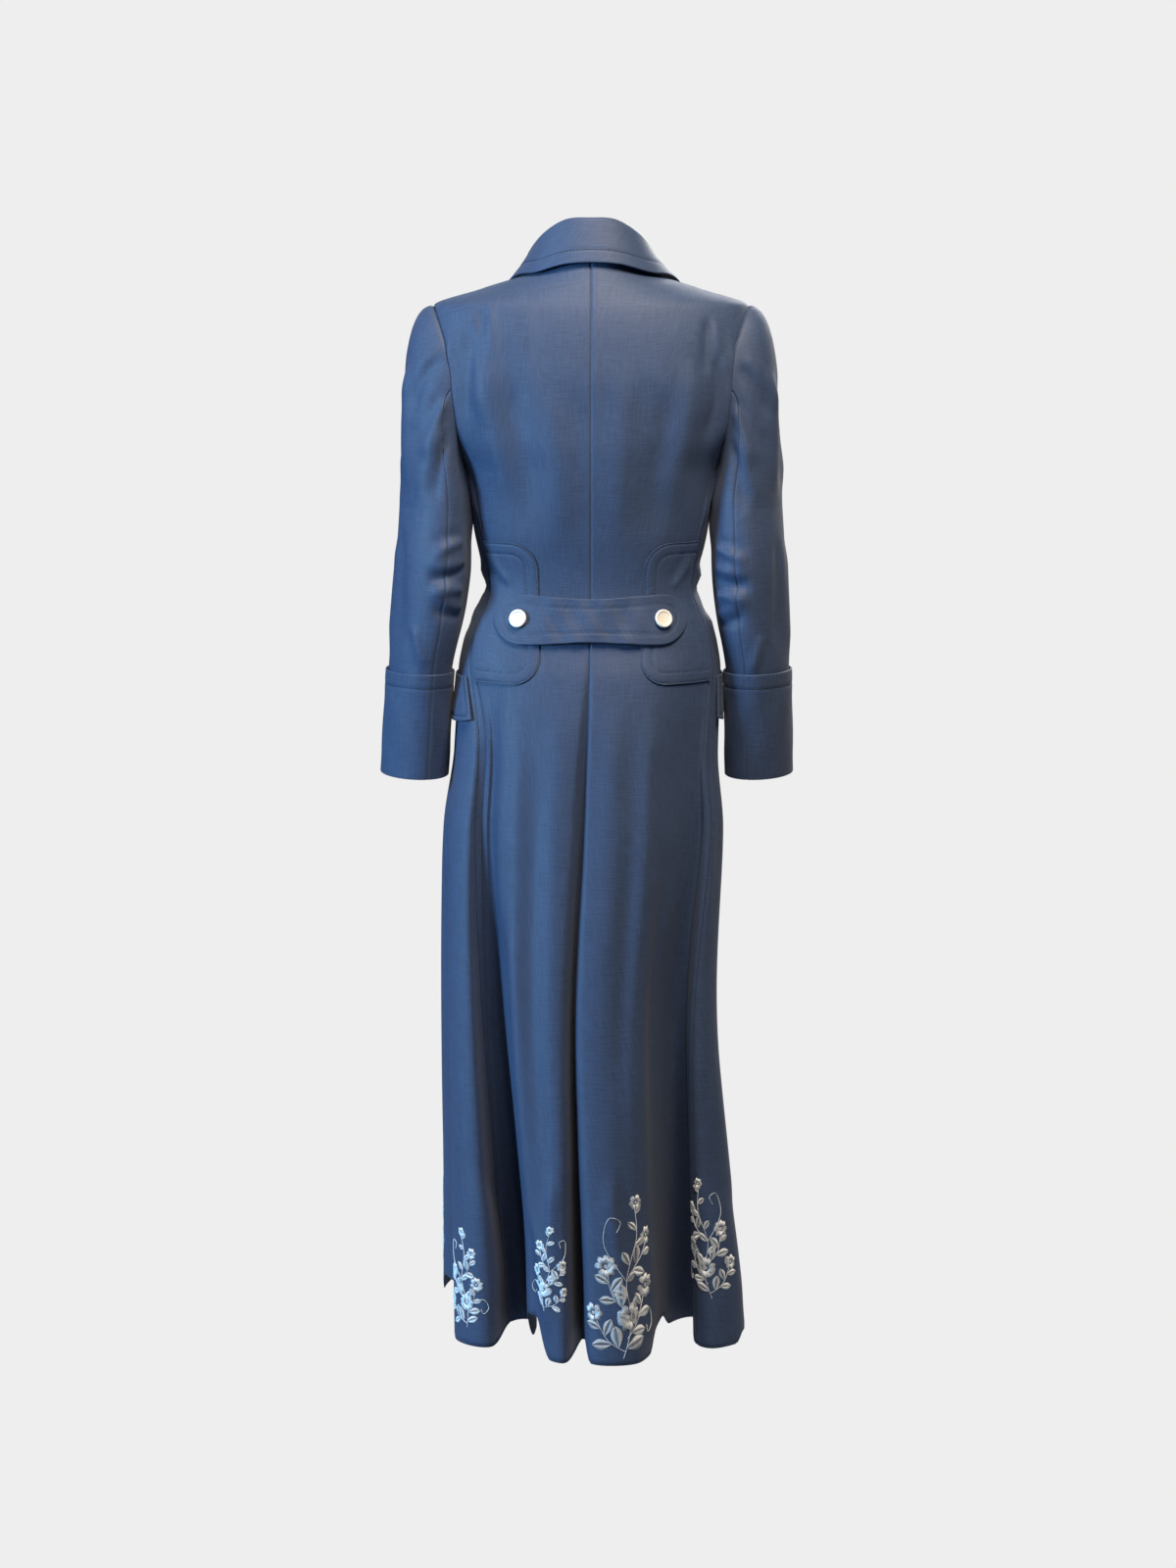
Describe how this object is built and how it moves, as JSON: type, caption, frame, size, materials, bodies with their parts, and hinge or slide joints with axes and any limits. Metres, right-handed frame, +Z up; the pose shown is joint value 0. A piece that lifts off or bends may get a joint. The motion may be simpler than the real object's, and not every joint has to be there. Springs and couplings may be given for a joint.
{
  "type": "double-breasted coat",
  "caption": "Long fitted double-breasted coat with a flared pleated skirt, rolled collar, turned-back cuffs and a buttoned half belt, in its worn shape.",
  "frame": {"origin": "midway between the shoulder tips, where the wearer's shoulders carry the coat", "axes": "+Z up along the body, -Y towards the front of the coat, +X towards the wearer's left"},
  "size_m": [0.5314, 0.4647, 1.4106],
  "materials": {
    "navy_cloth": "soft twill with a slight sheen",
    "white_button": "polished"
  },
  "bodies": {
    "root": {"back_left": "navy_cloth", "side_left": "navy_cloth", "front_left": "navy_cloth", "sleeve_upper_left": "navy_cloth", "sleeve_under_left": "navy_cloth", "cuff_left": "navy_cloth", "lapel_left": "navy_cloth", "belt_patch_left": "navy_cloth", "pocket_flap_left": "navy_cloth", "back_right": "navy_cloth", "side_right": "navy_cloth", "front_right": "navy_cloth", "sleeve_upper_right": "navy_cloth", "sleeve_under_right": "navy_cloth", "cuff_right": "navy_cloth", "lapel_right": "navy_cloth", "belt_patch_right": "navy_cloth", "pocket_flap_right": "navy_cloth", "collar": "navy_cloth", "half_belt": "navy_cloth", "belt_button_left": "white_button", "belt_button_right": "white_button", "front_button_left_1": "white_button", "front_button_right_1": "white_button", "front_button_left_2": "white_button", "front_button_right_2": "white_button", "front_button_left_3": "white_button", "front_button_right_3": "white_button"}
  },
  "joints": []
}
